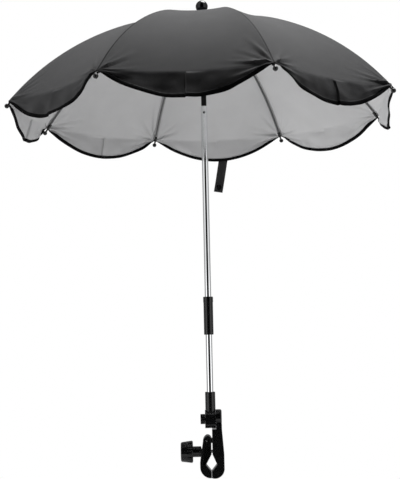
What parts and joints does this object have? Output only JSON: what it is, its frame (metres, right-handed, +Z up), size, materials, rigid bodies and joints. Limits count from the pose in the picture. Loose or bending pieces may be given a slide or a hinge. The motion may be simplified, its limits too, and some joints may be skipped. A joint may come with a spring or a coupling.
{
  "type": "pram parasol",
  "caption": "Folding clip-on pram parasol: scalloped ribbed canopy with a sliding runner on a telescoping, tilting mast, swivel socket and a screw clamp for a pram's frame tube.",
  "frame": {"origin": "middle of the clamp's tube grip, on the gripped tube's axis and under the mast's axis", "axes": "+Z up along the mast, +Y along the gripped tube, +X from the swinging jaw to the fixed arm"},
  "size_m": [0.7144, 0.7144, 0.9006],
  "materials": {
    "chrome_tube": "polished",
    "clamp_plastic": "satin",
    "hub_plastic": "satin",
    "gloss_plastic": "gloss",
    "tip_plastic": "gloss",
    "washer_plastic": "satin",
    "black_steel": "semi-gloss",
    "rib_steel": "semi-gloss",
    "bare_steel": "bright",
    "brass": "machined",
    "canopy_cloth": "woven, silver-coated inside",
    "webbing": "woven"
  },
  "bodies": {
    "clamp": {"clamp_arm": "clamp_plastic", "jaw_hinge_pin": "bare_steel", "threaded_inserts": "brass"},
    "jaw": {"clamp_jaw": "clamp_plastic"},
    "pressure_washer": {"thrust_washer": "washer_plastic"},
    "clamp_screw": {"clamp_knob": "clamp_plastic", "clamp_stud": "bare_steel"},
    "lock": {"lock_knob": "clamp_plastic", "swivel_bolt": "bare_steel"},
    "socket": {"swivel_socket": "clamp_plastic", "lower_tube": "chrome_tube", "lower_knuckle": "hub_plastic", "tilt_pin": "bare_steel"},
    "mast": {"upper_knuckle": "hub_plastic", "mast_tube": "chrome_tube", "snap_spring": "bare_steel"},
    "sleeve": {"locking_sleeve": "clamp_plastic"},
    "button": {"snap_button": "bare_steel"},
    "head": {"upper_tube": "black_steel", "runner_guide": "hub_plastic", "crown": "hub_plastic", "crown_wire": "bare_steel", "canopy_cap": "hub_plastic", "finial": "gloss_plastic"},
    "runner": {"runner": "hub_plastic", "runner_wire": "bare_steel"},
    "rib_1": {"rib_1": "rib_steel", "rib_tip_1": "tip_plastic", "canopy_panel_1": "canopy_cloth"},
    "stretcher_1": {"stretcher_1": "rib_steel"},
    "rib_2": {"rib_2": "rib_steel", "rib_tip_2": "tip_plastic", "canopy_panel_2": "canopy_cloth", "tie_strap": "webbing", "strap_stud": "bare_steel"},
    "stretcher_2": {"stretcher_2": "rib_steel"},
    "rib_3": {"rib_3": "rib_steel", "rib_tip_3": "tip_plastic", "canopy_panel_3": "canopy_cloth"},
    "stretcher_3": {"stretcher_3": "rib_steel"},
    "rib_4": {"rib_4": "rib_steel", "rib_tip_4": "tip_plastic", "canopy_panel_4": "canopy_cloth"},
    "stretcher_4": {"stretcher_4": "rib_steel"},
    "rib_5": {"rib_5": "rib_steel", "rib_tip_5": "tip_plastic", "canopy_panel_5": "canopy_cloth"},
    "stretcher_5": {"stretcher_5": "rib_steel"},
    "rib_6": {"rib_6": "rib_steel", "rib_tip_6": "tip_plastic", "canopy_panel_6": "canopy_cloth"},
    "stretcher_6": {"stretcher_6": "rib_steel"},
    "rib_7": {"rib_7": "rib_steel", "rib_tip_7": "tip_plastic", "canopy_panel_7": "canopy_cloth"},
    "stretcher_7": {"stretcher_7": "rib_steel"},
    "rib_8": {"rib_8": "rib_steel", "rib_tip_8": "tip_plastic", "canopy_panel_8": "canopy_cloth"},
    "stretcher_8": {"stretcher_8": "rib_steel"}
  },
  "joints": [
    {"name": "washer_slide", "type": "slide", "parent": "clamp", "child": "pressure_washer", "axis": [-1, 0, 0], "range_m": [-0.00001, 0.00861]},
    {"name": "screw_turn", "type": "hinge", "parent": "pressure_washer", "child": "clamp_screw", "pos_m": [-0.035, 0, 0.023], "axis": [-1, 0, 0], "range_deg": [0, 1238.4]},
    {"name": "jaw_swing", "type": "hinge", "parent": "clamp", "child": "jaw", "pos_m": [-0.0085, 0, 0.0435], "axis": [0, 1, 0], "range_deg": [-0.02, 18.02]},
    {"name": "lock_turn", "type": "hinge", "parent": "clamp", "child": "lock", "pos_m": [-0.015, 0, 0.0827], "axis": [-1, 0, 0], "continuous": true},
    {"name": "socket_swivel", "type": "hinge", "parent": "clamp", "child": "socket", "pos_m": [0, 0, 0.0827], "axis": [1, 0, 0], "range_deg": [-90, 90]},
    {"name": "mast_tilt", "type": "hinge", "parent": "socket", "child": "mast", "pos_m": [0, 0, 0.2517], "axis": [0, -1, 0], "range_deg": [0, 90]},
    {"name": "sleeve_slide", "type": "slide", "parent": "mast", "child": "sleeve", "axis": [0, 0, 1], "range_m": [0, 0.063]},
    {"name": "snap_press", "type": "slide", "parent": "mast", "child": "button", "axis": [0, 1, 0], "range_m": [0, 0.0025], "stiffness_N_per_m": 1500, "deforming": ["snap_spring"]},
    {"name": "head_telescope", "type": "slide", "parent": "mast", "child": "head", "axis": [0, 0, 1], "range_m": [0, 0.08]},
    {"name": "runner_slide", "type": "slide", "parent": "head", "child": "runner", "axis": [0, 0, -1], "range_m": [0, 0.20491], "deforming": ["canopy_panel_1", "canopy_panel_2", "canopy_panel_3", "canopy_panel_4", "canopy_panel_5", "canopy_panel_6", "canopy_panel_7", "canopy_panel_8", "tie_strap", "strap_stud"]},
    {"name": "rib_fold_1", "type": "hinge", "parent": "head", "child": "rib_1", "pos_m": [0.00762, 0.00243, 0.8245], "axis": [-0.3034, 0.9529, 0], "range_deg": [0, 63.02]},
    {"name": "stretcher_fold_1", "type": "hinge", "parent": "rib_1", "child": "stretcher_1", "pos_m": [0.14445, 0.04599, 0.81425], "axis": [0.3034, -0.9529, 0], "range_deg": [0, 109.41]},
    {"name": "rib_fold_2", "type": "hinge", "parent": "head", "child": "rib_2", "pos_m": [0.00367, 0.00711, 0.8245], "axis": [-0.8883, 0.4593, 0], "range_deg": [0, 63.02]},
    {"name": "stretcher_fold_2", "type": "hinge", "parent": "rib_2", "child": "stretcher_2", "pos_m": [0.06962, 0.13466, 0.81425], "axis": [0.8883, -0.4593, 0], "range_deg": [0, 109.41]},
    {"name": "rib_fold_3", "type": "hinge", "parent": "head", "child": "rib_3", "pos_m": [-0.00243, 0.00762, 0.8245], "axis": [-0.9529, -0.3034, 0], "range_deg": [0, 63.02]},
    {"name": "stretcher_fold_3", "type": "hinge", "parent": "rib_3", "child": "stretcher_3", "pos_m": [-0.04599, 0.14445, 0.81425], "axis": [0.9529, 0.3034, 0], "range_deg": [0, 109.41]},
    {"name": "rib_fold_4", "type": "hinge", "parent": "head", "child": "rib_4", "pos_m": [-0.00711, 0.00367, 0.8245], "axis": [-0.4593, -0.8883, 0], "range_deg": [0, 63.02]},
    {"name": "stretcher_fold_4", "type": "hinge", "parent": "rib_4", "child": "stretcher_4", "pos_m": [-0.13466, 0.06962, 0.81425], "axis": [0.4593, 0.8883, 0], "range_deg": [0, 109.41]},
    {"name": "rib_fold_5", "type": "hinge", "parent": "head", "child": "rib_5", "pos_m": [-0.00762, -0.00243, 0.8245], "axis": [0.3034, -0.9529, 0], "range_deg": [0, 63.02]},
    {"name": "stretcher_fold_5", "type": "hinge", "parent": "rib_5", "child": "stretcher_5", "pos_m": [-0.14445, -0.04599, 0.81425], "axis": [-0.3034, 0.9529, 0], "range_deg": [0, 109.41]},
    {"name": "rib_fold_6", "type": "hinge", "parent": "head", "child": "rib_6", "pos_m": [-0.00367, -0.00711, 0.8245], "axis": [0.8883, -0.4593, 0], "range_deg": [0, 63.02]},
    {"name": "stretcher_fold_6", "type": "hinge", "parent": "rib_6", "child": "stretcher_6", "pos_m": [-0.06962, -0.13466, 0.81425], "axis": [-0.8883, 0.4593, 0], "range_deg": [0, 109.41]},
    {"name": "rib_fold_7", "type": "hinge", "parent": "head", "child": "rib_7", "pos_m": [0.00243, -0.00762, 0.8245], "axis": [0.9529, 0.3034, 0], "range_deg": [0, 63.02]},
    {"name": "stretcher_fold_7", "type": "hinge", "parent": "rib_7", "child": "stretcher_7", "pos_m": [0.04599, -0.14445, 0.81425], "axis": [-0.9529, -0.3034, 0], "range_deg": [0, 109.41]},
    {"name": "rib_fold_8", "type": "hinge", "parent": "head", "child": "rib_8", "pos_m": [0.00711, -0.00367, 0.8245], "axis": [0.4593, 0.8883, 0], "range_deg": [0, 63.02]},
    {"name": "stretcher_fold_8", "type": "hinge", "parent": "rib_8", "child": "stretcher_8", "pos_m": [0.13466, -0.06962, 0.81425], "axis": [-0.4593, -0.8883, 0], "range_deg": [0, 109.41]}
  ],
  "couplings": [
    {"joint": "washer_slide", "follows": "screw_turn", "m_per_rad": 0.00039789},
    {"joint": "jaw_swing", "follows": "screw_turn", "ratio": 0.014535},
    {"joint": "sleeve_slide", "follows": "mast_tilt", "m_per_rad": 0.04},
    {"joint": "rib_fold_1", "follows": "runner_slide", "rad_per_m": 5.3661},
    {"joint": "stretcher_fold_1", "follows": "runner_slide", "rad_per_m": 9.3177},
    {"joint": "rib_fold_2", "follows": "runner_slide", "rad_per_m": 5.3661},
    {"joint": "stretcher_fold_2", "follows": "runner_slide", "rad_per_m": 9.3177},
    {"joint": "rib_fold_3", "follows": "runner_slide", "rad_per_m": 5.3661},
    {"joint": "stretcher_fold_3", "follows": "runner_slide", "rad_per_m": 9.3177},
    {"joint": "rib_fold_4", "follows": "runner_slide", "rad_per_m": 5.3661},
    {"joint": "stretcher_fold_4", "follows": "runner_slide", "rad_per_m": 9.3177},
    {"joint": "rib_fold_5", "follows": "runner_slide", "rad_per_m": 5.3661},
    {"joint": "stretcher_fold_5", "follows": "runner_slide", "rad_per_m": 9.3177},
    {"joint": "rib_fold_6", "follows": "runner_slide", "rad_per_m": 5.3661},
    {"joint": "stretcher_fold_6", "follows": "runner_slide", "rad_per_m": 9.3177},
    {"joint": "rib_fold_7", "follows": "runner_slide", "rad_per_m": 5.3661},
    {"joint": "stretcher_fold_7", "follows": "runner_slide", "rad_per_m": 9.3177},
    {"joint": "rib_fold_8", "follows": "runner_slide", "rad_per_m": 5.3661},
    {"joint": "stretcher_fold_8", "follows": "runner_slide", "rad_per_m": 9.3177}
  ]
}
